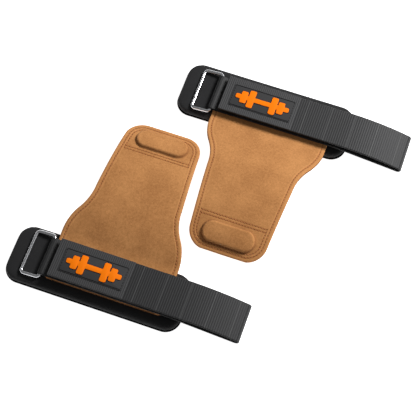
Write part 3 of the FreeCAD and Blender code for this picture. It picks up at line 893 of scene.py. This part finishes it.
def makeRing():
    far = Vector((ringLow.x + ring["wire"], ringLow.z + ring["wire"]))
    near = Vector((ringHinge.x, ringHinge.z))
    pitch = (near - far).length
    lean = math.asin((near.y - far.y) / pitch)
    across, corner = ringHigh.y - ring["wire"], ring["corner"]
    places = []
    for quarter, (x, y) in enumerate(((-corner, across - corner), (corner - pitch, across - corner),
                                      (corner - pitch, corner - across), (-corner, corner - across))):
        for step in range(ring["bend"] + 1):
            turn = math.pi / 2 * (quarter + step / ring["bend"])
            spot = Matrix.Translation((x + corner * math.cos(turn), y + corner * math.sin(turn), 0))
            places.append(spot @ Matrix.Rotation(turn, 4, "Z"))
    bm = bmesh.new()
    first = bmesh.ops.create_circle(bm, segments=ring["facets"], radius=ring["wire"],
                                    matrix=places[0] @ Matrix.Rotation(math.pi / 2, 4, "X"))["verts"]
    start = edges = list({e for v in first for e in v.link_edges})
    for before, after in zip(places, places[1:]):
        made = bmesh.ops.extrude_edge_only(bm, edges=edges)["geom"]
        verts = [g for g in made if isinstance(g, bmesh.types.BMVert)]
        edges = [g for g in made if isinstance(g, bmesh.types.BMEdge) and all(v in verts for v in g.verts)]
        bmesh.ops.transform(bm, matrix=after @ before.inverted(), verts=verts)
    bmesh.ops.bridge_loops(bm, edges=start + edges)
    settle = Matrix.Translation((near.x, 0, near.y)) @ Matrix.Rotation(-lean, 4, "Y")
    bmesh.ops.transform(bm, matrix=settle, verts=bm.verts)
    makePair(bm, "wireRing", "chrome_wire", ("ring",), body="ring")


makeRing()


badge = {
    "corner": 1,
    "round": 0.18,
    "frameInset": 1.0,     # from the patch's edge to the middle of its frame
    "frameWide": 0.7,
    "shaft": 5,
    "shaftLength": 54,
    "discs": ((11.25, 19), (18.75, 13)),   # place each side of the middle, and height
    "discWide": 6.5,
    "discCorner": 1.5,
    "outline": 0.5,        # how far the dark outline shows round the print
}


def roundedPlate(bm, centre, length, width, low, high, corner, rounded):
    before = set(bm.faces)
    made = bmesh.ops.create_cube(bm, size=1)["verts"]
    bmesh.ops.scale(bm, vec=(length, width, high - low - rounded), verts=made)
    bmesh.ops.translate(bm, vec=(centre.x, centre.y, (low + high - rounded) / 2), verts=made)
    upright = list({e for v in made for e in v.link_edges if abs(e.verts[0].co.z - e.verts[1].co.z) > 0.01})
    bmesh.ops.bevel(bm, geom=upright, offset=corner, affect="EDGES", segments=6, profile=0.5, material=-1)
    roundOver(bm, topOf(set(bm.faces) - before), rounded, 3)


def makeBadge():
    low, high = gripBox("tip_reinforcement")
    path = level((low.z + high.z) / 2)
    tip = webbing(low.x, high.x, path, strapHalf, high.z - low.z, 0.5, rib=1.9, ribHeight=0.08, thin=0.4)
    makePair(tip, "tipCover", "tip_weave", ("tip_reinforcement",), body="strap_end")
    low, high = gripBox("patch")
    centre = (low + high) / 2
    patch = bmesh.new()
    roundedPlate(patch, centre, high.x - low.x, high.y - low.y, low.z, high.z, badge["corner"],
                 badge["round"])
    noteFlat(patch)
    makeSharp(makePair(patch, "patchPlate", "patch_rubber", ("patch",), body="strap_end"))
    border = bmesh.new()
    halfX = (high.x - low.x) / 2 - badge["frameInset"]
    halfY = (high.y - low.y) / 2 - badge["frameInset"]
    for sign in (-1, 1):
        roundedPlate(border, centre + Vector((0, sign * halfY, 0)), 2 * halfX, badge["frameWide"],
                     high.z - 0.1, high.z + 0.16, 0.3, 0.1)
        count = round(2 * halfY / 2.6)
        for n in range(count):
            y = -halfY + (n + 0.5) * 2 * halfY / count
            roundedPlate(border, centre + Vector((sign * halfX, y, 0)), 0.55, 1.5, high.z - 0.1,
                         high.z + 0.12, 0.25, 0.08)
    makeSharp(makePair(border, "patchFrame", "black_thread", ("patch_stitching",),
                       body="strap_end"))
    low, high = gripBox("emblem")
    for name, finish, slot, grow, top, nodes in (
            ("barbellEdge", "print_edge", "patch_rubber", badge["outline"], low.z + 0.22, ()),
            ("barbellPrint", "orange_print", "orange_print", 0, high.z, ("emblem",))):
        bm = bmesh.new()
        roundedPlate(bm, centre, badge["shaftLength"] + 2 * grow, badge["shaft"] + 2 * grow,
                     low.z - 0.1, top - 0.03, badge["discCorner"] + grow, badge["round"])
        for reach, tall in badge["discs"]:
            for sign in (-1, 1):
                roundedPlate(bm, centre + Vector((sign * reach, 0, 0)), badge["discWide"] + 2 * grow,
                             tall + 2 * grow, low.z - 0.1, top, badge["discCorner"] + grow, badge["round"])
        makeSharp(makePair(bm, name, finish, nodes, body="strap_end"))


def makeSharp(pair):
    for piece in pair.values():
        piece.data.set_sharp_from_angle(angle=math.radians(22))


makeBadge()


studio = {
    "wall": 0.42,          # brightness of the surroundings beside the key light
    "dark": 0.2,           # and away from it
    "keyPower": 22,
    "keySize": 0.4,
    "keyAzimuth": 50,      # degrees from +X towards +Y
    "keyHeight": 43,
    "azimuth": 19.4,       # camera, degrees round from -Y
    "elevation": 66.3,
    "distance": 1.207,
    "lens": 109.7,
    "aim": (-0.0021, -0.007, 0),
}


def makeLight(name, azimuth, height, distance, size, power):
    lamp = bpy.data.lights.new(name, "AREA")
    lamp.size, lamp.energy = size, power
    spot = bpy.data.objects.new(name, lamp)
    a, e = math.radians(azimuth), math.radians(height)
    way = Vector((math.cos(a) * math.cos(e), math.sin(a) * math.cos(e), math.sin(e)))
    spot.location = way * distance
    spot.rotation_euler = way.to_track_quat("Z", "Y").to_euler()
    bpy.context.scene.collection.objects.link(spot)


def makeStudio():
    scene = bpy.context.scene
    scene.view_settings.view_transform = "Standard"
    scene.world = bpy.data.worlds.new("studio")
    room = Finish("studio", scene.world, Color=(1, 1, 1, 1))
    a = math.radians(studio["keyAzimuth"])
    spot = room.add("ShaderNodeTexCoord", {}, {}, "Generated")
    facing = room.add("ShaderNodeVectorMath", {"operation": "DOT_PRODUCT"},
                      {0: spot, 1: (math.cos(a), math.sin(a), 0)}, "Value")
    room.drive(Strength=room.step(facing, 0.1, 1) * (studio["wall"] - studio["dark"]) + studio["dark"])
    makeLight("key", studio["keyAzimuth"], studio["keyHeight"], 1.4, studio["keySize"], studio["keyPower"])
    bm = bmesh.new()
    bmesh.ops.create_grid(bm, x_segments=8, y_segments=8, size=12)
    mesh = bpy.data.meshes.new("floor")
    bm.to_mesh(mesh)
    bm.free()
    pale = Finish("paleFloor", Roughness=0.9, Emission_Color=(1, 1, 1, 1), Emission_Strength=0.95)
    tone = pale.grain(pale.place(), 300, 1)
    pale.drive(Base_Color=pale.mix(tone, colour(243, 243, 243), colour(249, 249, 249)))
    mesh.materials.append(pale.material)
    floor = bpy.data.objects.new("floor", mesh)
    scene.collection.objects.link(floor)
    floor.location.z = -0.0002
    camera = bpy.data.objects.new("camera", bpy.data.cameras.new("camera"))
    scene.collection.objects.link(camera)
    a, e = math.radians(studio["azimuth"]), math.radians(studio["elevation"])
    back = Vector((math.sin(a) * math.cos(e), -math.cos(a) * math.cos(e), math.sin(e)))
    camera.location = Vector(studio["aim"]) + back * studio["distance"]
    camera.rotation_euler = back.to_track_quat("Z", "Y").to_euler()
    camera.data.lens = studio["lens"]
    camera.data.clip_start, camera.data.clip_end = 0.01, 20
    scene.camera = camera


makeStudio()
print("studio ready")
